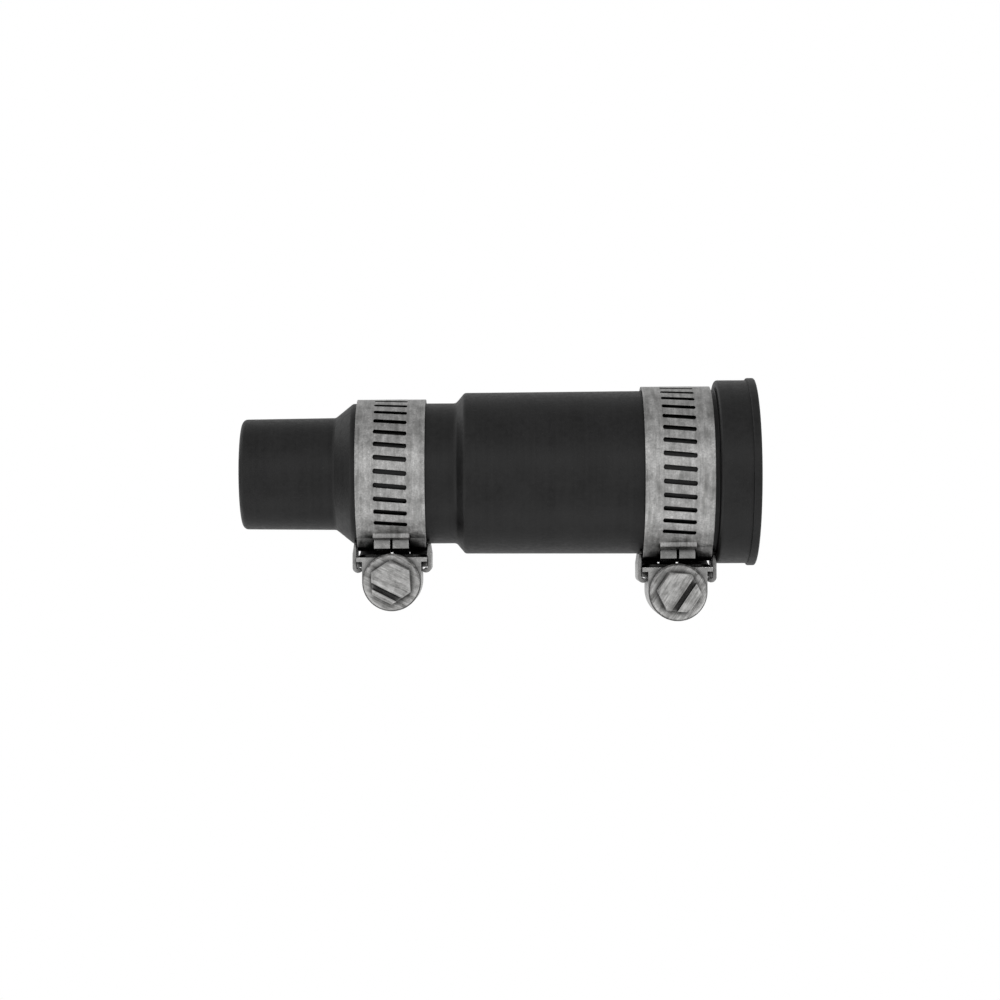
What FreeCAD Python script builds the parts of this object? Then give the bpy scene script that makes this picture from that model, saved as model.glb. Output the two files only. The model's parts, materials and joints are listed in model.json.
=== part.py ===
"""Reducing pipe coupling: a stepped rubber sleeve with two worm-drive band clamps.

Frame: millimetres, +Z up. The origin is the centre of the sleeve's large end face, +X points out of the
large mouth, and both clamp screws hang under the sleeve with their heads towards -Y.

Angles round the sleeve are in degrees, from straight down (-Z) over the front (-Y) to the top (+Z).
"""
import FreeCAD, Part
import os
import re

import Sketcher

SIZES = {
    # sleeve, measured along its axis from the small end
    "sleeve_length": 95.25,
    "small_step_end": 17.4,
    "mid_step_start": 20.65,
    "mid_step_end": 39.8,
    "large_step_start": 41.4,
    "collar_start": 87.9,
    "lip_width": 1.5,
    # sleeve diameters, which grow a little towards the large end
    "small_outer_first": 20.5,
    "small_outer_last": 20.9,
    "mid_outer": 26.15,
    "large_outer_first": 30.0,
    "large_outer_last": 30.5,
    "collar_outer": 34.15,
    "lip_outer": 34.95,
    "small_bore": 12.7,
    "mid_bore": 19.05,
    "large_bore": 22.2,
    "bore_step_shift": 1.2,     # each inner cone starts this far after its outer cone
    # sleeve roundings
    "end_rounding": 1.0,
    "step_rounding": 0.8,
    "collar_rounding": 0.6,
    "lip_rounding": 0.3,
    # where each clamp sits, and the radius of the rubber under it
    "mid_clamp_from_end": 27.85,
    "mid_hose_radius": 13.075,
    "large_clamp_from_end": 80.6,
    "large_hose_radius": 15.21,
    # band strip and its slots
    "band_width": 12.7,
    "band_thickness": 0.64,
    "slot_length": 6.2,
    "slot_width": 0.9,
    "slot_end_radius": 0.55,
    "slot_tilt": 5.1,
    "mid_first_slot": 47.85,
    "mid_slot_step": 10.65,
    "mid_slot_count": 26,
    "large_first_slot": 45.95,
    "large_slot_step": 9.2,
    "large_slot_count": 30,
    # stack under the screw: rubber, saddle, fixed band end, hook, free band end
    "fit_gap": 0.1,
    "contact_gap": 0.02,
    "slide_gap": 0.07,
    "saddle_thickness": 0.7,
    "tail_height": 2.57,        # rubber to the middle of the free band end, under the screw
    "tail_radius": 18.0,        # curve of the free band end inside the housing
    "band_bend_radius": 6.0,    # where the band turns from the rubber into the housing
    "band_bend_end": -23.0,
    "band_loop_end": -20.2,
    "fixed_end_start": 8.0,
    "drop_start": 20.0,         # the fixed end steps down from the saddle to the rubber
    "drop_end": 30.0,
    "tail_start": -11.5,
    "tail_tip": 12.2,
    "tail_corner": 2.5,
    "tail_slot_count": 3,
    # window in the band's fixed end, and the saddle's two hooks through it
    "window_near": 4.7,
    "mid_window_far": 7.2,
    "large_window_far": 7.8,
    "window_width": 6.7,
    # raised land across the band, just in front of the window
    "land_height": 0.45,
    "land_slope": 0.55,
    "mid_land_near": 7.4,
    "mid_land_far": 8.5,
    "large_land_near": 8.0,
    "large_land_far": 9.5,
    "hook_root": 18.0,          # the hooks join the plate from this angle
    "hook_reach": 6.9,
    "hook_neck": 6.1,
    "hook_fold": 2.6,
    "hooks_width": 6.4,
    "hooks_gap": 0.5,
    "hooks_gap_end": 1.6,
    # saddle plate and the ears that hold the housing
    "plate_front": 20.0,
    "plate_back": -22.0,
    "ear_outside": 7.3,
    "ear_length": 9.0,
    "ear_root": 0.4,            # the ears start inside the plate and lean outwards,
    "ear_flare_height": 1.8,    # reaching their full width at this height under the rubber
    "ear_curl_height": 4.3,
    "ear_curl_radius": 1.0,
    "ear_curl_angle": 37.0,
    # housing
    "housing_length": 13.0,
    "housing_sheet": 0.8,
    "shoulder_width": 13.0,
    "shoulder_height": 2.98,
    "shoulder_radius": 36.7,
    "arch_radius": 5.45,
    "arch_root": 3.1,
    "arch_opening": 1.5,
    "foot_start": 3.3,          # folded feet under the shoulders, gripped by the ears
    "foot_depth": 4.25,
    "neck_hole": 6.76,
    "tip_hole": 4.16,
    # screw
    "screw_height": 6.9,
    "neck_diameter": 6.6,
    "root_diameter": 6.2,
    "tip_diameter": 4.0,
    "tip_end": 6.9,
    "root_half_length": 5.5,
    "flange_diameter": 10.4,
    "flange_near": 6.55,
    "flange_far": 7.75,
    "flange_rounding": 0.35,
    "head_across_flats": 7.0,
    "head_height": 4.0,
    "head_chamfer": 0.45,
    "head_face_inset": 0.25,
    "driver_slot_width": 1.0,
    "driver_slot_depth": 1.6,
    "mid_driver_slot_angle": -27.0,
    "mid_driver_slot_offset": -2.1,
    "large_driver_slot_angle": 55.5,
    "large_driver_slot_offset": -1.1,
    # worm thread, whose pitch is also the spacing of the slots along the free band end
    "pitch": 2.54,
    "thread_turns": 4.0,
    "thread_radius": 4.47,
    "thread_crest": 0.42,
    "thread_base": 1.15,
    # how far a shape runs into the one it joins, or a cut runs past the one it cuts
    "run_on": 0.1,
}

CLAMPS = ("mid", "large")

# Radii measured from the sleeve's axis, written with the names in SIZES.
BAND_INSIDE = "hose_radius + fit_gap"
BAND_OUTSIDE = "hose_radius + fit_gap + band_thickness"
PLATE_OUTSIDE = "hose_radius + fit_gap + saddle_thickness"
FIXED_END_INSIDE = "hose_radius + fit_gap + saddle_thickness + contact_gap"
FIXED_END_OUTSIDE = "hose_radius + fit_gap + saddle_thickness + contact_gap + band_thickness"
HOOK_INSIDE = "hose_radius + fit_gap + saddle_thickness + 2 * contact_gap + band_thickness"

# The free band end follows an arc about a point a little above the sleeve's axis.
TAIL_CENTRE = "tail_radius - tail_height - hose_radius"
TAIL_INSIDE = "tail_radius - band_thickness / 2"
TAIL_OUTSIDE = "tail_radius + band_thickness / 2"
HOOK_OUTSIDE = "tail_radius - band_thickness / 2 - slide_gap"

document = FreeCAD.newDocument("pipe_coupling")
sheet = document.addObject("Spreadsheet::Sheet", "sizes")


def fill_sheet():
    for row, (alias, value) in enumerate(SIZES.items(), start=1):
        sheet.set(f"A{row}", alias)
        sheet.set(f"B{row}", str(value))
        sheet.setAlias(f"B{row}", alias)
    document.recompute()


def formula(text, clamp=None):
    """Point each size name in a formula at its cell; a clamp's own size wins over a shared one."""
    def cell(match):
        name = match.group(0)
        own_name = f"{clamp}_{name}"
        if own_name in SIZES:
            return "sizes." + own_name
        return "sizes." + name if name in SIZES else name
    return re.sub(r"[a-z_]+", cell, text)


def evaluate(text, clamp=None):
    return float(sheet.evalExpression(formula(text, clamp)))


def new_body(name):
    body = document.addObject("PartDesign::Body", name)
    body.Label = name
    return body


def origin_feature(body, role):
    return next(item for item in body.Origin.OriginFeatures if item.Role == role)


def new_sketch(body, plane, name, offset=None, turn=None, clamp=None):
    """Sketch on an origin plane, moved along its normal by offset or turned about X by turn."""
    sketch = body.newObject("Sketcher::SketchObject", f"{body.Name}_{name}")
    sketch.AttachmentSupport = [(origin_feature(body, plane), "")]
    sketch.MapMode = "FlatFace"
    if offset:
        sketch.setExpression("AttachmentOffset.Base.z", formula(offset, clamp))
    if turn:
        sketch.AttachmentOffset = FreeCAD.Placement(
            FreeCAD.Vector(), FreeCAD.Rotation(FreeCAD.Vector(1, 0, 0), evaluate(turn, clamp)))
        sketch.setExpression("AttachmentOffset.Rotation.Angle", formula(f"({turn}) * 1 deg", clamp))
    return sketch


def bind(sketch, kind, where, text, clamp):
    """Add one dimension to a sketch and tie it to the sheet."""
    index = sketch.addConstraint(Sketcher.Constraint(kind, *where, evaluate(text, clamp)))
    sketch.setExpression(f"Constraints[{index}]", formula(text, clamp))


def draw_outline(sketch, corners, clamp=None):
    """Closed outline. A corner is (x, y), or (x, y, arc) when an arc leads on from it.

    An arc is (turn, centre x, centre y, radius), where turn is "ccw" or "cw".
    """
    points = [FreeCAD.Vector(evaluate(c[0], clamp), evaluate(c[1], clamp), 0) for c in corners]
    ends = []
    for number, corner in enumerate(corners):
        start = points[number]
        stop = points[(number + 1) % len(points)]
        if len(corner) == 2:
            sketch.addGeometry(Part.LineSegment(start, stop), False)
            ends.append((1, 2))
            continue
        turn, centre_x, centre_y, radius = corner[2]
        centre = FreeCAD.Vector(evaluate(centre_x, clamp), evaluate(centre_y, clamp), 0)
        circle = Part.Circle(centre, FreeCAD.Vector(0, 0, 1), evaluate(radius, clamp))
        first, last = (start, stop) if turn == "ccw" else (stop, start)
        begin = circle.parameter(first)
        finish = circle.parameter(last)
        sketch.addGeometry(Part.ArcOfCircle(circle, begin, finish), False)
        ends.append((1, 2) if turn == "ccw" else (2, 1))
    for number, corner in enumerate(corners):
        following = (number + 1) % len(corners)
        sketch.addConstraint(
            Sketcher.Constraint("Coincident", number, ends[number][1], following, ends[following][0]))
        bind(sketch, "DistanceX", (-1, 1, number, ends[number][0]), corner[0], clamp)
        bind(sketch, "DistanceY", (-1, 1, number, ends[number][0]), corner[1], clamp)
        if len(corner) == 3:
            bind(sketch, "Radius", (number,), corner[2][3], clamp)


def draw_circle(sketch, centre_y, diameter, clamp=None):
    """Circle on the sketch's vertical axis."""
    centre = FreeCAD.Vector(0, evaluate(centre_y, clamp), 0)
    sketch.addGeometry(Part.Circle(centre, FreeCAD.Vector(0, 0, 1), evaluate(diameter, clamp) / 2), False)
    sketch.addConstraint(Sketcher.Constraint("PointOnObject", 0, 3, -2))
    bind(sketch, "DistanceY", (-1, 1, 0, 3), centre_y, clamp)
    bind(sketch, "Diameter", (0,), diameter, clamp)


def around_hose(radius, angle):
    """Point at a radius and an angle about the sleeve's axis, in a sketch on the YZ plane."""
    return f"-({radius}) * sin({angle})", f"-({radius}) * cos({angle})"


def around_tail(radius, angle):
    """The same about the centre of the free band end's arc."""
    return f"-({radius}) * sin({angle})", f"{TAIL_CENTRE} - ({radius}) * cos({angle})"


def under_hose(radius, front):
    """Point under the sleeve at a radius, and at a distance in front of the axis."""
    return f"-({front})", f"-sqrt(({radius})^2 - ({front})^2)"


def under_tail(radius, front):
    return f"-({front})", f"{TAIL_CENTRE} - sqrt(({radius})^2 - ({front})^2)"


def hose_arc(turn, radius):
    return (turn, "0", "0", radius)


def tail_arc(turn, radius):
    return (turn, "0", TAIL_CENTRE, radius)


def extrude(body, kind, sketch, length, clamp=None, sides="Symmetric", reverse=False):
    """Pad or Pocket; a length of None cuts through everything."""
    feature = body.newObject(f"PartDesign::{kind}", sketch.Name + "_" + kind.lower())
    feature.Profile = sketch
    feature.SideType = sides
    feature.Reversed = reverse
    if length is None:
        feature.Type = "ThroughAll"
    else:
        feature.setExpression("Length", formula(length, clamp))
    sketch.Visibility = False
    finish_feature(body, feature, kind)
    return feature


def revolve(body, kind, sketch):
    """Full turn about the sketch's horizontal axis: a Revolution adds, a Groove cuts."""
    feature = body.newObject(f"PartDesign::{kind}", sketch.Name + "_turned")
    feature.Profile = sketch
    feature.ReferenceAxis = (sketch, ["H_Axis"])
    feature.Angle = 360
    finish_feature(body, feature, kind)
    return feature


def finish_feature(body, feature, kind):
    """Recompute, and make sure that the feature added or removed material."""
    originals = getattr(feature, "Originals", None)
    base = originals[0] if originals else feature.BaseFeature
    before = base.Shape.Volume if base else 0.0
    document.recompute()
    after = feature.Shape.Volume
    grew = after > before + 1e-6
    shrank = after < before - 1e-6
    wanted = shrank if kind in ("Pocket", "Groove", "Fillet", "Chamfer") else grew
    if not wanted:
        raise RuntimeError(f"{feature.Name} changed nothing: {before:.3f} to {after:.3f}")


def repeat_slots(body, feature, step, count, clamp):
    """Repeat a slot round the body's X axis, towards the front and the top."""
    pattern = body.newObject("PartDesign::PolarPattern", f"{body.Name}_slots")
    pattern.Originals = [feature]
    pattern.Axis = (origin_feature(body, "X_Axis"), [""])
    pattern.Reversed = True
    pattern.setExpression("Angle", formula(f"({step}) * (({count}) - 1) * 1 deg", clamp))
    pattern.setExpression("Occurrences", formula(count, clamp))
    body.Tip = pattern
    finish_feature(body, pattern, "Pocket")


def mirror(body, feature):
    copy = body.newObject("PartDesign::Mirrored", f"{feature.Name}_mirrored")
    copy.Originals = [feature]
    copy.MirrorPlane = (origin_feature(body, "YZ_Plane"), [""])
    body.Tip = copy
    finish_feature(body, copy, "Mirrored")


def round_edges(body, base, name, edges, radius, clamp=None):
    fillet = body.newObject("PartDesign::Fillet", f"{body.Name}_{name}")
    fillet.Base = (base, edges)
    fillet.setExpression("Radius", formula(radius, clamp))
    document.recompute()
    if "Invalid" in fillet.State:
        raise RuntimeError(f"{fillet.Name} failed")
    return fillet


def circle_edges(shape, spots):
    """Names of the circular edges about X that pass within reach of the given (x, diameter) spots."""
    found = []
    for number, edge in enumerate(shape.Edges, start=1):
        if not isinstance(edge.Curve, Part.Circle):
            continue
        for along, diameter in spots:
            if abs(edge.Curve.Center.x - along) < 0.02 and abs(edge.Curve.Radius - diameter / 2) < 0.02:
                found.append(f"Edge{number}")
    return found


def make_sleeve():
    """One turned profile, bores included, with rounded ends, steps and collar."""
    body = new_body("sleeve")
    sketch = new_sketch(body, "XZ_Plane", "profile")
    outside = [
        ("0", "small_outer_first"),
        ("small_step_end", "small_outer_last"),
        ("mid_step_start", "mid_outer"),
        ("mid_step_end", "mid_outer"),
        ("large_step_start", "large_outer_first"),
        ("collar_start", "large_outer_last"),
        ("collar_start", "collar_outer"),
        ("sleeve_length - lip_width", "collar_outer"),
        ("sleeve_length - lip_width", "lip_outer"),
        ("sleeve_length", "lip_outer"),
    ]
    inside = [
        ("sleeve_length", "large_bore"),
        ("large_step_start + bore_step_shift", "large_bore"),
        ("mid_step_end + bore_step_shift", "mid_bore"),
        ("mid_step_start + bore_step_shift", "mid_bore"),
        ("small_step_end + bore_step_shift", "small_bore"),
        ("0", "small_bore"),
    ]
    corners = [(f"{along} - sleeve_length", f"({across}) / 2") for along, across in outside + inside]
    draw_outline(sketch, corners)
    turned = revolve(body, "Revolution", sketch)

    def spots(names):
        return [(evaluate(f"{along} - sleeve_length"), evaluate(across)) for along, across in names]

    roundings = [
        ("end", outside[:1], "end_rounding"),
        ("steps", outside[1:5], "step_rounding"),
        ("collar_root", outside[5:6], "lip_rounding"),
        ("collar", outside[6:7], "collar_rounding"),
        ("lip", outside[8:], "lip_rounding"),
    ]
    base = turned
    for name, places, radius in roundings:
        edges = circle_edges(base.Shape, spots(places))
        base = round_edges(body, base, name, edges, radius)


def draw_band_slot(sketch, clamp):
    """Tilted slot with bulged ends, in a sketch on the XY plane."""
    along = "cos(slot_tilt)"
    across = "sin(slot_tilt)"
    bulge = "(slot_end_radius - sqrt(slot_end_radius^2 - (slot_width / 2)^2))"
    reach = f"(slot_length / 2 - {bulge})"
    centre = "(slot_length / 2 - slot_end_radius)"
    half = "(slot_width / 2)"

    def point(length_sign, width_sign):
        x = f"{length_sign}{reach} * {along} - ({width_sign}{half}) * {across}"
        y = f"{length_sign}{reach} * {across} + ({width_sign}{half}) * {along}"
        return x, y

    def end_arc(sign):
        return ("ccw", f"{sign}{centre} * {along}", f"{sign}{centre} * {across}", "slot_end_radius")

    draw_outline(sketch, [
        point("-", "-"),
        (*point("", "-"), end_arc("")),
        point("", ""),
        (*point("-", ""), end_arc("-")),
    ], clamp)


def place_clamp_part(body, clamp, height="0"):
    """Stand a clamp's piece at its clamp's place along the sleeve, and at a height."""
    body.setExpression("Placement.Base.x", formula("clamp_from_end - sleeve_length", clamp))
    body.setExpression("Placement.Base.z", formula(height, clamp))


def make_band(clamp):
    """Band loop: fixed end on the saddle, once round the rubber, then out into the housing's back."""
    body = new_body(f"{clamp}_band")
    bend_y = "-(tail_radius - band_bend_radius) * sin(band_bend_end)"
    bend_z = f"({TAIL_CENTRE} - (tail_radius - band_bend_radius) * cos(band_bend_end))"
    bend_far = f"sqrt(({bend_y})^2 + {bend_z}^2)"
    bend_angle = f"atan2(-({bend_y}); -{bend_z}) / 1 deg"
    middle = "hose_radius + fit_gap + band_thickness / 2"
    leave = f"({bend_angle} - acos(({middle} - band_bend_radius) / {bend_far}) / 1 deg)"

    def bend_start(radius):
        return f"{bend_y} - ({radius}) * sin{leave}", f"{bend_z} - ({radius}) * cos{leave}"

    def bend_arc(turn, radius):
        return (turn, bend_y, bend_z, radius)

    outer_bend = "band_bend_radius + band_thickness / 2"
    inner_bend = "band_bend_radius - band_thickness / 2"
    outline = new_sketch(body, "YZ_Plane", "outline")
    draw_outline(outline, [
        (*around_hose(FIXED_END_OUTSIDE, "fixed_end_start"), hose_arc("cw", FIXED_END_OUTSIDE)),
        around_hose(FIXED_END_OUTSIDE, "drop_start"),
        (*around_hose(BAND_OUTSIDE, "drop_end"), hose_arc("cw", BAND_OUTSIDE)),
        around_hose(BAND_OUTSIDE, leave),
        (*bend_start(outer_bend), bend_arc("cw", outer_bend)),
        (*around_tail(TAIL_OUTSIDE, "band_bend_end"), tail_arc("cw", TAIL_OUTSIDE)),
        around_tail(TAIL_OUTSIDE, "band_loop_end"),
        (*around_tail(TAIL_INSIDE, "band_loop_end"), tail_arc("ccw", TAIL_INSIDE)),
        (*around_tail(TAIL_INSIDE, "band_bend_end"), bend_arc("ccw", inner_bend)),
        bend_start(inner_bend),
        (*around_hose(BAND_INSIDE, leave), hose_arc("ccw", BAND_INSIDE)),
        around_hose(BAND_INSIDE, "drop_end"),
        (*around_hose(FIXED_END_INSIDE, "drop_start"), hose_arc("ccw", FIXED_END_INSIDE)),
        around_hose(FIXED_END_INSIDE, "fixed_end_start"),
    ], clamp)
    extrude(body, "Pad", outline, "band_width", clamp)

    window = new_sketch(body, "XY_Plane", "window")
    draw_outline(window, [
        ("-window_width / 2", "-window_far"),
        ("window_width / 2", "-window_far"),
        ("window_width / 2", "-window_near"),
        ("-window_width / 2", "-window_near"),
    ], clamp)
    extrude(body, "Pocket", window, None, clamp, sides="One side")

    slot = new_sketch(body, "XY_Plane", "slot", turn="-first_slot", clamp=clamp)
    draw_band_slot(slot, clamp)
    first = extrude(body, "Pocket", slot, None, clamp, sides="One side")
    repeat_slots(body, first, "slot_step", "slot_count", clamp)

    land = new_sketch(body, "YZ_Plane", "land")
    land_root = f"{BAND_OUTSIDE} - band_thickness / 2"
    land_top = f"{BAND_OUTSIDE} + land_height"
    draw_outline(land, [
        under_hose(land_root, "land_far"),
        under_hose(land_root, "land_near"),
        under_hose(land_top, "land_near"),
        under_hose(land_top, "land_far - land_slope"),
    ], clamp)
    extrude(body, "Pad", land, "window_width", clamp)
    place_clamp_part(body, clamp)


def make_band_free_end(clamp):
    """Free end of the band, in mesh with the worm; its body stands at the centre of its arc."""
    body = new_body(f"{clamp}_band_free_end")
    outline = new_sketch(body, "YZ_Plane", "outline")
    draw_outline(outline, [
        (*around_hose(TAIL_OUTSIDE, "tail_start"), hose_arc("cw", TAIL_OUTSIDE)),
        around_hose(TAIL_OUTSIDE, "tail_tip"),
        (*around_hose(TAIL_INSIDE, "tail_tip"), hose_arc("ccw", TAIL_INSIDE)),
        around_hose(TAIL_INSIDE, "tail_start"),
    ], clamp)
    strip = extrude(body, "Pad", outline, "band_width", clamp)

    thickness = evaluate("band_thickness")
    corner_edges = [
        f"Edge{number}" for number, edge in enumerate(strip.Shape.Edges, start=1)
        if edge.Length < 1.1 * thickness and edge.CenterOfMass.y < 0
    ]
    round_edges(body, strip, "tip", corner_edges, "tail_corner", clamp)

    step = "(pitch / tail_radius * 180 / pi)"
    slot = new_sketch(body, "XY_Plane", "slot", turn=step, clamp=clamp)
    draw_band_slot(slot, clamp)
    first = extrude(body, "Pocket", slot, None, clamp, sides="One side")
    repeat_slots(body, first, step, "tail_slot_count", clamp)
    place_clamp_part(body, clamp, TAIL_CENTRE)


def make_saddle(clamp):
    """Curved plate on the rubber, with two ears curled over the housing and two hooks at the front."""
    body = new_body(f"{clamp}_saddle")
    plate = new_sketch(body, "YZ_Plane", "plate")
    draw_outline(plate, [
        (*around_hose(PLATE_OUTSIDE, "plate_back"), hose_arc("cw", PLATE_OUTSIDE)),
        around_hose(PLATE_OUTSIDE, "plate_front"),
        (*around_hose(BAND_INSIDE, "plate_front"), hose_arc("ccw", BAND_INSIDE)),
        around_hose(BAND_INSIDE, "plate_back"),
    ], clamp)
    extrude(body, "Pad", plate, "2 * ear_outside - saddle_thickness", clamp)

    curl_x = "(ear_outside - ear_curl_radius)"
    curl_z = "-(hose_radius + ear_curl_height)"
    inner_curl = "(ear_curl_radius - saddle_thickness)"

    def curl_tip(radius):
        return (f"{curl_x} - {radius} * cos(ear_curl_angle)", f"{curl_z} - {radius} * sin(ear_curl_angle)")

    ear = new_sketch(body, "XZ_Plane", "ear")
    draw_outline(ear, [
        ("ear_outside", "-(hose_radius + ear_flare_height)"),
        ("ear_outside - saddle_thickness / 2", "-(hose_radius - ear_root)"),
        ("ear_outside - saddle_thickness", "-(hose_radius - ear_root)"),
        ("ear_outside - saddle_thickness", curl_z, ("cw", curl_x, curl_z, inner_curl)),
        curl_tip(inner_curl),
        (*curl_tip("ear_curl_radius"), ("ccw", curl_x, curl_z, "ear_curl_radius")),
        ("ear_outside", curl_z),
    ], clamp)
    right_ear = extrude(body, "Pad", ear, "ear_length", clamp)
    mirror(body, right_ear)

    hooks = new_sketch(body, "YZ_Plane", "hooks")
    draw_outline(hooks, [
        (*around_hose(BAND_INSIDE, "hook_root"), hose_arc("cw", BAND_INSIDE)),
        under_hose(BAND_INSIDE, "hook_reach"),
        (*under_tail(HOOK_OUTSIDE, "hook_reach"), tail_arc("ccw", HOOK_OUTSIDE)),
        under_tail(HOOK_OUTSIDE, "hook_fold"),
        (*under_hose(HOOK_INSIDE, "hook_fold"), hose_arc("cw", HOOK_INSIDE)),
        under_hose(HOOK_INSIDE, "hook_neck"),
        (*under_hose(PLATE_OUTSIDE, "hook_neck"), hose_arc("ccw", PLATE_OUTSIDE)),
        around_hose(PLATE_OUTSIDE, "hook_root"),
    ], clamp)
    extrude(body, "Pad", hooks, "hooks_width", clamp)

    gap = new_sketch(body, "XY_Plane", "hook_gap")
    draw_outline(gap, [
        ("-hooks_gap / 2", "-hook_reach - run_on"),
        ("hooks_gap / 2", "-hook_reach - run_on"),
        ("hooks_gap / 2", "-hooks_gap_end"),
        ("-hooks_gap / 2", "-hooks_gap_end"),
    ], clamp)
    extrude(body, "Pocket", gap, None, clamp, sides="One side")

    hose_room = new_sketch(body, "YZ_Plane", "hose_room")
    draw_circle(hose_room, "0", f"2 * ({BAND_INSIDE})", clamp)
    extrude(body, "Pocket", hose_room, None, clamp)
    place_clamp_part(body, clamp)


def draw_arch(sketch, half_width, top, clamp):
    """Arch round the worm: straight sides down to the screw's height, then half a circle."""
    axis = "-(hose_radius + screw_height)"
    arc = ("ccw", "0", axis, half_width)
    draw_outline(sketch, [
        (f"-({half_width})", f"-(hose_radius + {top})"),
        (f"-({half_width})", axis, arc),
        ("0", f"{axis} - ({half_width})", arc),
        (half_width, axis),
        (half_width, f"-(hose_radius + {top})"),
    ], clamp)


def make_housing(clamp):
    """Pressed cover over the worm: arch, end walls with bearing holes, and shoulders over the band."""
    body = new_body(f"{clamp}_housing")
    centre = "(shoulder_radius - shoulder_height - hose_radius)"
    half = "housing_length / 2"
    outer = "(shoulder_radius + housing_sheet)"

    def on_shoulder(radius, side):
        return f"{side}({half})", f"{centre} - sqrt({radius}^2 - ({half})^2)"

    shoulders = new_sketch(body, "YZ_Plane", "shoulders")
    draw_outline(shoulders, [
        (*on_shoulder(outer, "-"), ("ccw", "0", centre, outer)),
        on_shoulder(outer, ""),
        (*on_shoulder("shoulder_radius", ""), ("cw", "0", centre, "shoulder_radius")),
        on_shoulder("shoulder_radius", "-"),
    ], clamp)
    extrude(body, "Pad", shoulders, "shoulder_width", clamp)

    arch = new_sketch(body, "XZ_Plane", "arch")
    draw_arch(arch, "arch_radius", "arch_root", clamp)
    extrude(body, "Pad", arch, "housing_length", clamp)

    foot = new_sketch(body, "XZ_Plane", "foot")
    draw_outline(foot, [
        ("arch_radius - housing_sheet / 2", "-(hose_radius + foot_depth)"),
        ("shoulder_width / 2", "-(hose_radius + foot_depth)"),
        ("shoulder_width / 2", "-(hose_radius + foot_start)"),
        ("arch_radius - housing_sheet / 2", "-(hose_radius + foot_start)"),
    ], clamp)
    right_foot = extrude(body, "Pad", foot, "ear_length", clamp)
    mirror(body, right_foot)

    inside = new_sketch(body, "XZ_Plane", "inside")
    draw_arch(inside, "arch_radius - housing_sheet", "arch_opening", clamp)
    extrude(body, "Pocket", inside, "housing_length - 2 * housing_sheet", clamp)

    axis = "-(hose_radius + screw_height)"
    neck = new_sketch(body, "XZ_Plane", "neck_hole")
    draw_circle(neck, axis, "neck_hole", clamp)
    extrude(body, "Pocket", neck, None, clamp, sides="One side", reverse=True)
    tip = new_sketch(body, "XZ_Plane", "tip_hole")
    draw_circle(tip, axis, "tip_hole", clamp)
    extrude(body, "Pocket", tip, None, clamp, sides="One side")
    place_clamp_part(body, clamp)


def make_screw(clamp):
    """Slotted hex washer-head screw with a worm thread; its body stands on the screw's own axis."""
    body = new_body(f"{clamp}_screw")
    shank = new_sketch(body, "YZ_Plane", "shank")
    draw_outline(shank, [
        ("-flange_far", "0"),
        ("tip_end", "0"),
        ("tip_end", "tip_diameter / 2"),
        ("root_half_length", "tip_diameter / 2"),
        ("root_half_length", "root_diameter / 2"),
        ("-root_half_length", "root_diameter / 2"),
        ("-root_half_length", "neck_diameter / 2"),
        ("-flange_near", "neck_diameter / 2"),
        ("-flange_near", "flange_diameter / 2"),
        ("-flange_far + flange_rounding", "flange_diameter / 2"),
        ("-flange_far", "flange_diameter / 2 - flange_rounding"),
    ], clamp)
    revolve(body, "Revolution", shank)

    hexagon = new_sketch(body, "XZ_Plane", "hexagon", offset="flange_far", clamp=clamp)
    corner_radius = "head_across_flats / 2 / cos(30)"
    draw_outline(hexagon, [
        (f"{corner_radius} * cos(driver_slot_angle + {turn})",
         f"{corner_radius} * sin(driver_slot_angle + {turn})")
        for turn in range(0, 360, 60)
    ], clamp)
    extrude(body, "Pad", hexagon, "head_height", clamp, sides="One side")

    top = "flange_far + head_height"
    chamfer = new_sketch(body, "YZ_Plane", "chamfer")
    draw_outline(chamfer, [
        (f"-({top}) - run_on", "head_across_flats / 2 - head_face_inset"),
        (f"-({top}) + head_chamfer", "head_across_flats / 2 / cos(30) + run_on"),
        (f"-({top}) - run_on", "head_across_flats / 2 / cos(30) + run_on"),
    ], clamp)
    revolve(body, "Groove", chamfer)

    driver = new_sketch(body, "XZ_Plane", "driver_slot", offset=top, clamp=clamp)
    half_long = "flange_diameter / 2"
    corners = []
    for along, across in (("-", "-"), ("", "-"), ("", ""), ("-", "")):
        shift = f"(driver_slot_offset + ({across}driver_slot_width / 2))"
        corners.append((
            f"{along}{half_long} * cos(driver_slot_angle) - {shift} * sin(driver_slot_angle)",
            f"{along}{half_long} * sin(driver_slot_angle) + {shift} * cos(driver_slot_angle)",
        ))
    draw_outline(driver, corners, clamp)
    extrude(body, "Pocket", driver, "driver_slot_depth", clamp, sides="One side")

    thread = new_sketch(body, "YZ_Plane", "thread")
    middle = "-pitch * thread_turns / 2"
    draw_outline(thread, [
        (f"{middle} - thread_base / 2", "root_diameter / 2 - run_on"),
        (f"{middle} + thread_base / 2", "root_diameter / 2 - run_on"),
        (f"{middle} + thread_crest / 2", "thread_radius"),
        (f"{middle} - thread_crest / 2", "thread_radius"),
    ], clamp)
    helix = body.newObject("PartDesign::AdditiveHelix", f"{clamp}_worm_thread")
    helix.Profile = thread
    helix.ReferenceAxis = (thread, ["H_Axis"])
    helix.Mode = "pitch-height-angle"
    helix.setExpression("Pitch", formula("pitch", clamp))
    helix.setExpression("Height", formula("pitch * thread_turns", clamp))
    finish_feature(body, helix, "AdditiveHelix")
    place_clamp_part(body, clamp, "-(hose_radius + screw_height)")


def check_document():
    for item in document.Objects:
        if "Invalid" in item.State or "Error" in item.State:
            raise RuntimeError(f"{item.Name} failed: {item.State}")


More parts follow.
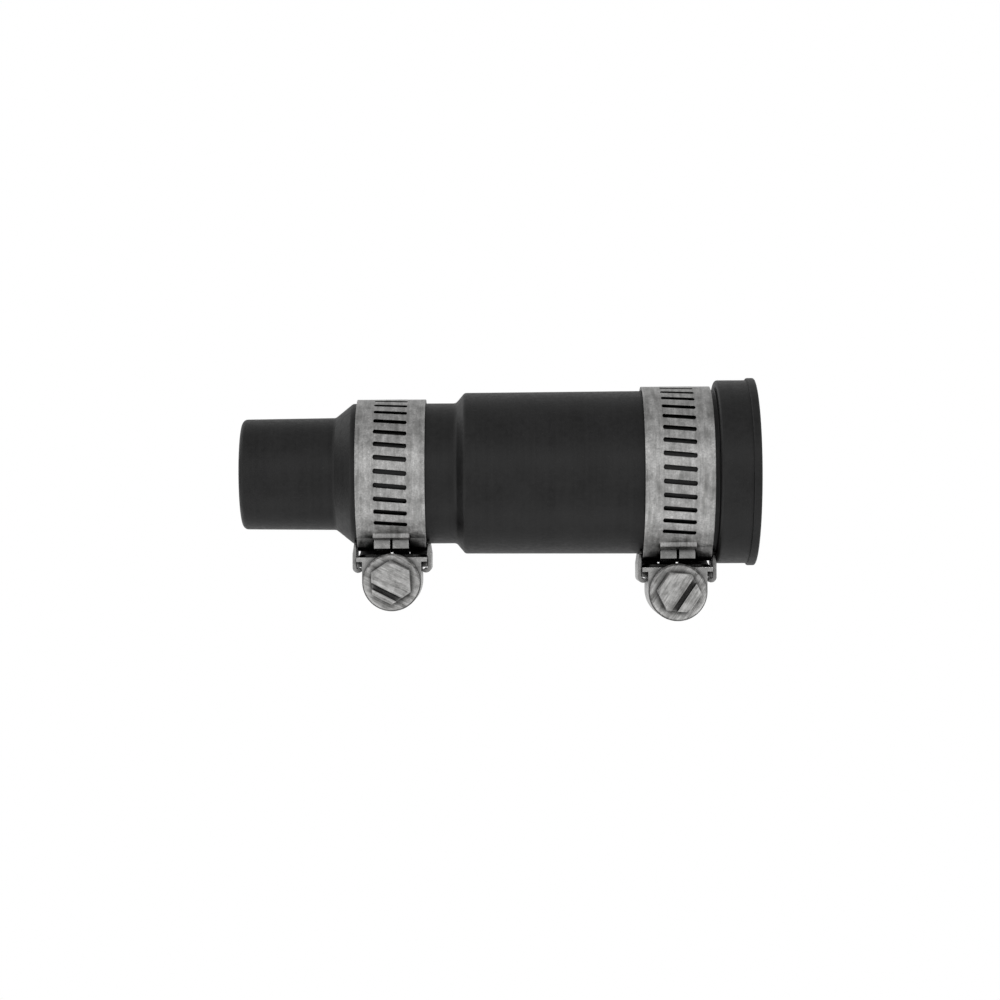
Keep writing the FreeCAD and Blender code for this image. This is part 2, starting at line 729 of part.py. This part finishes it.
def export_bodies():
    os.makedirs("parts", exist_ok=True)
    bodies = [item for item in document.Objects if item.TypeId == "PartDesign::Body"]
    for body in bodies:
        shape = body.Shape
        if shape.isNull() or not shape.isValid() or len(shape.Solids) != 1:
            raise RuntimeError(f"{body.Label} is not one valid solid")
        print(f"{body.Label}: {shape.Volume:.2f} mm3")
    for body in bodies:
        body.Shape.exportStep(f"parts/{body.Label}.step")


fill_sheet()
make_sleeve()
for clamp_name in CLAMPS:
    make_band(clamp_name)
    make_band_free_end(clamp_name)
    make_saddle(clamp_name)
    make_housing(clamp_name)
    make_screw(clamp_name)
document.recompute()
check_document()
export_bodies()
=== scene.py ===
import json
import math

import bpy
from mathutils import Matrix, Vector


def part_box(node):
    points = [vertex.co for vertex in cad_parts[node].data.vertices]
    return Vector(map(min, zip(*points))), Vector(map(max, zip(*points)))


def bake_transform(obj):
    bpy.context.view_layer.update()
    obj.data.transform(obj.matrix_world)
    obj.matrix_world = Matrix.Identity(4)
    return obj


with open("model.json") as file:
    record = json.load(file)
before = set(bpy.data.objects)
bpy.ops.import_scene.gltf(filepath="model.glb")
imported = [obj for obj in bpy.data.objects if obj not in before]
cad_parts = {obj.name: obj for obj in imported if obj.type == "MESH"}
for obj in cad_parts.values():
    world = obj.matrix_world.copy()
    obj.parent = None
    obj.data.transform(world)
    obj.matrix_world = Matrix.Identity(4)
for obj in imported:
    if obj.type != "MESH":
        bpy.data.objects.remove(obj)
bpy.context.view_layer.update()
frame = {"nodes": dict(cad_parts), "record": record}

MM = 0.001
CLAMPS = ("mid", "large")
JOINTS = {joint["name"]: joint for joint in frame["record"]["behaviour"]["joints"]}

# Camera: a little below the sleeve's axis, looking along +Y.
CAMERA_DISTANCE = 0.48
CAMERA_LENS = 116.6 * CAMERA_DISTANCE / 0.605
CAMERA_SENSOR = 36
CAMERA_FROM_END = 0.0479
CAMERA_HEIGHT = -0.00503
CAMERA_ROLL = math.radians(0.33)

# How the room looks in the part: (place, grey) from straight down to straight up, and by |x|.
ROOM_STRENGTH = 2.0
ROOM_HEIGHTS = [
    (0.0, 0.48), (0.02, 0.52), (0.13, 0.58), (0.31, 0.60), (0.5, 0.53),
    (0.74, 0.57), (0.82, 0.51), (0.90, 0.44), (0.97, 0.40), (1.0, 0.38),
]
ROOM_SIDES = [(0.48, 0.50), (0.64, 0.95), (0.80, 0.95), (0.92, 0.50), (0.98, 0.42)]

# Painted shade darkens the colour of the steel inside the clamps and, more finely, in the corners of the
# screws and of the rubber.
# Each is its reach and the (openness, grey) stops of its ramp.
CLAMP_PAINTED_SHADE = (6.0 * MM, [(0.38, 0.02), (0.66, 0.40), (0.90, 1.0)])
SCREW_PAINTED_SHADE = (1.4 * MM, [(0.35, 0.01), (0.62, 0.35), (0.88, 1.0)])
RUBBER_SHADE = (1.4 * MM, [(0.22, 0.0), (0.60, 1.0)])

SEAM = [(0.05, 1.0), (0.22, 0.0)]    # parting line: (distance from the middle in mm, height)
BAND_RADIUS = 14.5                   # mm, about where the strip lies
SLEEVE_RADIUS = 14.0
DRIVER_SLOT_ANGLE = {"mid": math.radians(-27), "large": math.radians(55.5)}


# ---------------------------------------------------------------- node helpers

class Nodes:
    """Short names for building one node tree."""

    def __init__(self, tree):
        self.tree = tree

    def add(self, kind, inputs=None, **settings):
        node = self.tree.nodes.new("ShaderNode" + kind)
        for key, value in settings.items():
            setattr(node, key, value)
        for key, value in (inputs or {}).items():
            self.put(node.inputs[key], value)
        return node

    def put(self, socket, value):
        if isinstance(value, bpy.types.NodeSocket):
            self.tree.links.new(value, socket)
        else:
            socket.default_value = value

    def math(self, operation, *values):
        node = self.add("Math", operation=operation)
        for socket, value in zip(node.inputs, values):
            self.put(socket, value)
        return node.outputs[0]

    def total(self, *terms, base=0.0):
        """The base, plus each value times its weight."""
        result = base
        for value, weight in terms:
            result = self.math("MULTIPLY_ADD", value, weight, result)
        return result

    def distance(self, first, second):
        squares = [self.math("POWER", value, 2.0) for value in (first, second)]
        return self.math("SQRT", self.math("ADD", *squares))

    def ramp(self, value, stops):
        """Grey ramp: stops are (position, grey) pairs, first to last."""
        node = self.add("ValToRGB", {"Fac": value})
        elements = node.color_ramp.elements
        for position, _ in stops[1:-1]:
            elements.new(position)
        for element, (position, level) in zip(elements, stops):
            element.position = position
            element.color = grey(level)
        return node.outputs["Color"]

    def noise(self, vector, scale, detail=2.0, roughness=0.5, stretch=(1, 1, 1)):
        """Noise whose scale is in cells per millimetre of the given vector."""
        mapped = self.add("Mapping", {"Vector": vector, "Scale": [scale * s for s in stretch]})
        node = self.add("TexNoise", {
            "Vector": mapped.outputs[0], "Scale": 1.0, "Detail": detail, "Roughness": roughness})
        return node.outputs["Fac"]

    def patches(self, vector, scale, **settings):
        """Noise spread out to the full range from 0 to 1."""
        return self.ramp(self.noise(vector, scale, **settings), [(0.37, 0.0), (0.63, 1.0)])

    def spots(self, vector, scale, low, high, **settings):
        """The peaks of a noise: 0 up to the low level, and 1 from the high level."""
        return self.ramp(self.noise(vector, scale, **settings), [(low, 0.0), (high, 1.0)])

    def mix(self, factor, first, second):
        node = self.add("Mix", data_type="RGBA", clamp_factor=True)
        self.put(node.inputs[0], factor)
        self.put(node.inputs[6], first)
        self.put(node.inputs[7], second)
        return node.outputs[2]

    def cover(self, colour, mask, strength, coat):
        """Lay a coat over the colour where the mask is 1, at a strength."""
        return self.mix(self.math("MULTIPLY", mask, strength), colour, coat)

    def bump(self, height, distance, strength, normal=None):
        inputs = {"Height": height, "Distance": distance, "Strength": strength}
        if normal:
            inputs["Normal"] = normal
        return self.add("Bump", inputs).outputs[0]

    def shade(self, colour, factor):
        node = self.add("VectorMath", operation="MULTIPLY")
        self.put(node.inputs[0], colour)
        self.put(node.inputs[1], factor)
        return node.outputs[0]

    def shade_corners(self, colour, reach, stops):
        """Paint shade into the colour in slots and corners narrower than the reach."""
        node = self.add("AmbientOcclusion", {"Distance": reach}, samples=8)
        return self.shade(colour, self.ramp(node.outputs["AO"], stops))

    def millimetres(self):
        """Position in the part's own frame, in millimetres."""
        place = self.add("TexCoord").outputs["Object"]
        node = self.add("VectorMath", {"Scale": 1 / MM}, operation="SCALE")
        self.put(node.inputs[0], place)
        return node.outputs[0]

    def split(self, vector):
        return self.add("SeparateXYZ", {"Vector": vector}).outputs

    def join(self, x, y, z):
        return self.add("CombineXYZ", {"X": x, "Y": y, "Z": z}).outputs[0]

    def unrolled(self, place, radius):
        """Along the sleeve, round it at a radius, and out from it, all in millimetres."""
        x, y, z = self.split(place)
        turn = self.math("MULTIPLY", self.math("ARCTAN2", y, z), radius)
        return self.join(x, turn, self.distance(y, z))


def grey(level):
    return (level, level, level, 1)


def new_material(name):
    material = bpy.data.materials.new(name)
    material.use_nodes = True
    material.node_tree.nodes.clear()
    return material, Nodes(material.node_tree)


def finish_material(material, nodes, inputs):
    shader = nodes.add("BsdfPrincipled", inputs)
    nodes.add("OutputMaterial", {"Surface": shader.outputs[0]})
    return material


def finish_steel(material, nodes, colour, painted_corner_shade, roughness, height, depth, strength, edge_radius):
    """Steel with painted shade in its corners, a surface relief and edges that shine as if rounded."""
    edges = nodes.add("Bevel", {"Radius": edge_radius}, samples=6).outputs[0]
    return finish_material(material, nodes, {
        "Base Color": nodes.shade_corners(colour, *painted_corner_shade), "Roughness": roughness, "Metallic": 1.0,
        "Normal": nodes.bump(height, depth, strength, edges),
    })


# ---------------------------------------------------------------- materials

def rubber_material():
    """Moulded black rubber: fine grain, faint rings from the mould, scuffs, dust, a parting line and painted
    shade in its corners.
    """
    material, nodes = new_material("sleeve_rubber")
    place = nodes.millimetres()
    round_place = nodes.unrolled(place, SLEEVE_RADIUS)
    across = nodes.split(place)[1]

    cloud = nodes.patches(place, 0.16, detail=4, roughness=0.6)
    mottle = nodes.patches(place, 1.1, detail=4, roughness=0.7)
    grain = nodes.noise(place, 5.0, detail=3, roughness=0.7)
    rings = nodes.patches(round_place, 1.1, detail=3, stretch=(1, 0.015, 0))
    scuffs = nodes.spots(round_place, 0.9, 0.60, 0.74, detail=5, roughness=0.75, stretch=(0.35, 2.4, 1))
    dust = nodes.spots(place, 3.4, 0.72, 0.80, detail=1, roughness=0.4)
    seam = nodes.ramp(nodes.math("ABSOLUTE", across), SEAM)

    tone = nodes.total((mottle, 0.5), (cloud, 0.5))
    colour = nodes.mix(tone, (0.001, 0.001, 0.0012, 1), (0.011, 0.011, 0.0113, 1))
    colour = nodes.cover(colour, rings, 0.35, grey(0.014))
    colour = nodes.cover(colour, scuffs, 0.30, grey(0.034))
    colour = nodes.cover(colour, dust, 0.22, (0.075, 0.073, 0.07, 1))

    height = nodes.total((mottle, 0.35), (grain, 0.75), (rings, 0.30), (seam, 1.3), (scuffs, -0.25))
    return finish_material(material, nodes, {
        "Base Color": nodes.shade_corners(colour, *RUBBER_SHADE),
        "Roughness": nodes.total((mottle, 0.12), (scuffs, 0.10), base=0.37),
        "Normal": nodes.bump(height, 0.05 * MM, 0.9),
        "Specular IOR Level": 0.42, "IOR": 1.5,
    })


def band_material():
    """Rolled stainless strip: fine lines along its length, blotches, worn, rounded edges and painted shade in
    its slots and corners.
    """
    material, nodes = new_material("band_steel")
    place = nodes.millimetres()
    strip = nodes.unrolled(place, BAND_RADIUS)

    lines = nodes.noise(strip, 9.0, detail=3, roughness=0.7, stretch=(1, 0.03, 0))
    broad_lines = nodes.patches(strip, 1.4, detail=3, roughness=0.6, stretch=(1, 0.10, 0))
    blotch = nodes.patches(strip, 0.55, detail=4, roughness=0.62, stretch=(1, 0.8, 0))
    speckle = nodes.patches(place, 3.2, detail=3, roughness=0.7)
    dirt = nodes.spots(strip, 0.9, 0.56, 0.70, detail=5, roughness=0.75)

    tone = nodes.total((broad_lines, 0.45), (blotch, 0.55))
    colour = nodes.mix(tone, (0.32, 0.318, 0.31, 1), (0.82, 0.815, 0.805, 1))
    colour = nodes.cover(colour, speckle, 0.50, grey(0.30))
    colour = nodes.cover(colour, dirt, 0.38, (0.19, 0.186, 0.178, 1))

    roughness = nodes.total((blotch, 0.18), (lines, 0.14), (dirt, 0.12), base=0.22)
    height = nodes.total((broad_lines, 0.8), (lines, 0.5), (speckle, 1.3), (blotch, 4.0))
    return finish_steel(material, nodes, colour, CLAMP_PAINTED_SHADE, roughness, height,
                        depth=0.012 * MM, strength=0.9, edge_radius=0.14 * MM)


def pressed_material():
    """Pressed sheet: drawn, slightly rippled surface with small pits, dirt spots and painted shade in its
    corners.
    """
    material, nodes = new_material("pressed_steel")
    place = nodes.millimetres()

    ripple = nodes.noise(place, 0.45, detail=3, roughness=0.6)
    blotch = nodes.patches(place, 0.9, detail=4, roughness=0.6)
    pits = nodes.noise(place, 6.0, detail=2, roughness=0.6)
    dirt = nodes.spots(place, 1.0, 0.56, 0.74, detail=5, roughness=0.75)

    colour = nodes.mix(blotch, (0.54, 0.538, 0.53, 1), (0.74, 0.735, 0.725, 1))
    colour = nodes.cover(colour, dirt, 0.40, (0.20, 0.197, 0.190, 1))

    roughness = nodes.total((blotch, 0.12), (dirt, 0.14), base=0.18)
    height = nodes.total((blotch, 0.5), (ripple, 4.0), (pits, 0.35))
    return finish_steel(material, nodes, colour, CLAMP_PAINTED_SHADE, roughness, height,
                        depth=0.02 * MM, strength=0.8, edge_radius=0.18 * MM)


def screw_material(name, axis_x, axis_z, slot_angle):
    """Turned screw: rings about its own axis, fine marks along the driver slot, painted shade in the corners.
    """
    material, nodes = new_material(name)
    place = nodes.millimetres()
    x, y, z = nodes.split(place)
    across = nodes.math("SUBTRACT", x, axis_x / MM)
    down = nodes.math("SUBTRACT", z, axis_z / MM)
    out = nodes.distance(across, down)
    along_slot = nodes.total((down, math.sin(slot_angle)), (across, math.cos(slot_angle)))
    over_slot = nodes.total((across, -math.sin(slot_angle)), (down, math.cos(slot_angle)))

    rings = nodes.noise(nodes.join(out, y, 0.0), 5.0, detail=3, roughness=0.6)
    marks = nodes.patches(nodes.join(along_slot, over_slot, y), 1.6, detail=3, roughness=0.7,
                          stretch=(0.10, 1.3, 0.2))
    blotch = nodes.patches(place, 0.7, detail=4, roughness=0.65)
    pits = nodes.noise(place, 6.5, detail=2, roughness=0.6)
    dirt = nodes.spots(place, 1.2, 0.56, 0.76, detail=5, roughness=0.75)

    tone = nodes.total((marks, 0.55), (blotch, 0.45))
    colour = nodes.mix(tone, (0.20, 0.198, 0.192, 1), (0.80, 0.795, 0.785, 1))
    colour = nodes.cover(colour, dirt, 0.40, (0.16, 0.157, 0.150, 1))

    roughness = nodes.total((blotch, 0.18), (marks, 0.12), base=0.26)
    height = nodes.total((marks, 2.4), (rings, 0.8), (pits, 0.6))
    return finish_steel(material, nodes, colour, SCREW_PAINTED_SHADE, roughness, height,
                        depth=0.018 * MM, strength=0.9, edge_radius=0.20 * MM)


def dress_parts():
    materials = {"sleeve": rubber_material()}
    band = band_material()
    pressed = pressed_material()
    for clamp in CLAMPS:
        x, _, z = JOINTS[f"{clamp}_screw_turn"]["pos_m"]
        materials[f"{clamp}_band"] = band
        materials[f"{clamp}_band_free_end"] = band
        materials[f"{clamp}_saddle"] = pressed
        materials[f"{clamp}_housing"] = pressed
        materials[f"{clamp}_screw"] = screw_material(f"{clamp}_screw_steel", x, z, DRIVER_SLOT_ANGLE[clamp])
        make_band_bridge(clamp, band)
    for name, node in frame["nodes"].items():
        node.data.materials.clear()
        node.data.materials.append(materials[name])


# ---------------------------------------------------------------- band inside the housings

STRIP_THICKNESS = 0.60 * MM
STRIP_WIDTH = 12.6 * MM
STRIP_OPENING = 6.2 * MM
STRIP_SINK = 0.02 * MM               # how far its outside lies under the free end's
STRIP_FIRST = math.radians(-22.0)    # inside the loop's end
STRIP_LAST = math.radians(-10.8)     # inside the free end
STRIP_STEPS = 28


def make_band_bridge(clamp, material):
    """The band's two edges between the loop and its free end.

    The worm runs in the opening between them.
    """
    centre = Vector(JOINTS[f"{clamp}_free_end_travel"]["pos_m"])
    outside = centre.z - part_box(f"{clamp}_band_free_end")[0].z - STRIP_SINK
    inside = outside - STRIP_THICKNESS

    def point(angle, radius, along):
        return (centre.x + along, centre.y - radius * math.sin(angle), centre.z - radius * math.cos(angle))

    points = []
    faces = []
    for first_x, last_x in ((-STRIP_WIDTH / 2, -STRIP_OPENING / 2), (STRIP_OPENING / 2, STRIP_WIDTH / 2)):
        sections = []
        for step in range(STRIP_STEPS + 1):
            angle = STRIP_FIRST + (STRIP_LAST - STRIP_FIRST) * step / STRIP_STEPS
            sections.append(len(points))
            for radius, along in ((outside, first_x), (outside, last_x), (inside, last_x), (inside, first_x)):
                points.append(point(angle, radius, along))
        faces.append(tuple(sections[0] + corner for corner in (0, 1, 2, 3)))
        faces.append(tuple(sections[-1] + corner for corner in (3, 2, 1, 0)))
        for first, following in zip(sections, sections[1:]):
            for corner in range(4):
                beside = (corner + 1) % 4
                faces.append((first + beside, first + corner, following + corner, following + beside))
    mesh = bpy.data.meshes.new(f"{clamp}_band_bridge")
    mesh.from_pydata(points, [], faces)
    mesh.validate()
    piece = bpy.data.objects.new(f"{clamp}_band_bridge", mesh)
    bpy.context.scene.collection.objects.link(piece)
    mesh.materials.append(material)
    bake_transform(piece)


# ---------------------------------------------------------------- light and camera

def make_world():
    """White to the eye; to the part, a grey room with brighter bands to the sides."""
    world = bpy.data.worlds.new("studio")
    bpy.context.scene.world = world
    world.use_nodes = True
    world.node_tree.nodes.clear()
    nodes = Nodes(world.node_tree)
    x, _, z = nodes.split(nodes.add("TexCoord").outputs["Generated"])
    sides = nodes.ramp(nodes.math("ABSOLUTE", x), ROOM_SIDES)
    height = nodes.ramp(nodes.math("MULTIPLY_ADD", z, 0.5, 0.5), ROOM_HEIGHTS)
    room = nodes.add("Background", {"Color": nodes.shade(height, sides), "Strength": ROOM_STRENGTH})
    white = nodes.add("Background", {"Color": grey(1.0), "Strength": 1.0})
    seen = nodes.add("LightPath").outputs["Is Camera Ray"]
    both = nodes.add("MixShader", {"Fac": seen})
    nodes.put(both.inputs[1], room.outputs[0])
    nodes.put(both.inputs[2], white.outputs[0])
    nodes.add("OutputWorld", {"Surface": both.outputs[0]})


def make_light(name, place, size, power, target=(-0.04, 0, -0.004)):
    """Soft rectangular light, aimed at the part."""
    data = bpy.data.lights.new(name, "AREA")
    data.shape = "RECTANGLE"
    data.size, data.size_y = size
    data.energy = power
    light = bpy.data.objects.new(name, data)
    light.location = place
    aim = Vector(target) - Vector(place)
    light.rotation_euler = aim.to_track_quat("-Z", "Y").to_euler()
    light.visible_camera = False
    bpy.context.scene.collection.objects.link(light)


def make_camera():
    data = bpy.data.cameras.new("camera")
    data.lens = CAMERA_LENS
    data.sensor_width = CAMERA_SENSOR
    camera = bpy.data.objects.new("camera", data)
    bpy.context.scene.collection.objects.link(camera)
    small_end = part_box("sleeve")[0].x
    camera.location = (small_end + CAMERA_FROM_END, -CAMERA_DISTANCE, CAMERA_HEIGHT)
    camera.rotation_euler = (math.radians(90), CAMERA_ROLL, 0)
    bpy.context.scene.camera = camera


dress_parts()
make_world()
make_light("front_strip", (0.047, -0.90, 0.31), (0.05, 0.12), 0.35)
make_light("low_front", (0.0, -0.40, -0.85), (0.5, 0.05), 0.3)
make_camera()
bpy.context.scene.view_settings.view_transform = "Standard"
